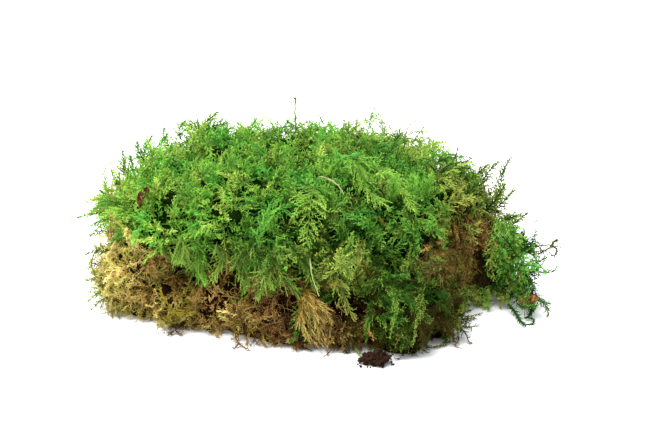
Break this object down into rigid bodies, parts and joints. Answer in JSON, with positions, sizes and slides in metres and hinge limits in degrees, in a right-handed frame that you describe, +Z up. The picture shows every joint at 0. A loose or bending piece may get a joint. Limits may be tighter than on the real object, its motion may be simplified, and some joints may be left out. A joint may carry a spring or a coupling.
{
  "type": "moss clump",
  "caption": "Low oval clump of lifted fern moss: feathery green fronds over a matted brown base of dead fronds, with loose tips, rootlets and a crumb of soil.",
  "frame": {"origin": "middle of the clump's bounding box, on the surface that it rests on", "axes": "+Z up; +X to the right seen from the front, along its length; -Y to its front, where the brown shows"},
  "size_m": [0.2164, 0.1718, 0.0751],
  "materials": {
    "green_moss": "feathery, matt to satin",
    "dark_moss": "feathery, matt",
    "brown_moss": "dry, matted, matt",
    "stem": "thin dry stems, satin",
    "rootlet": "dry, matt",
    "dry_leaf": "dry, curled, matt",
    "bark": "rough, matt",
    "soil": "crumbly, matt"
  },
  "bodies": {
    "root": {"moss_cushion": "green_moss", "thatch_mat": "brown_moss", "front_green_lobe": "green_moss", "olive_lobe": "dark_moss", "right_tuft": "dark_moss", "ochre_wad": "brown_moss", "yellow_wad": "brown_moss", "pale_wad": "brown_moss", "front_brown_wad": "brown_moss", "centre_brown_wad": "brown_moss", "folded_frond": "brown_moss", "root_patch": "rootlet", "hanging_frond": "green_moss", "left_stray_frond": "green_moss", "left_arched_frond": "green_moss", "upright_frond_left": "green_moss", "upright_frond_right": "green_moss", "peak_frond": "green_moss", "spore_stalk": "stem", "bare_stem_near": "stem", "bare_stem_far": "stem", "dark_twig": "stem", "corner_frond": "green_moss", "knotted_stem": "stem", "bark_bit": "bark", "ground_curl": "green_moss", "hooked_rootlet": "rootlet", "soil_crumb": "soil", "crumb_stem": "green_moss", "root_twig": "rootlet", "loose_twig": "rootlet", "root_tuft": "rootlet", "leaf_scrap": "dry_leaf", "pale_stem": "stem", "lying_stem": "stem"}
  },
  "joints": []
}
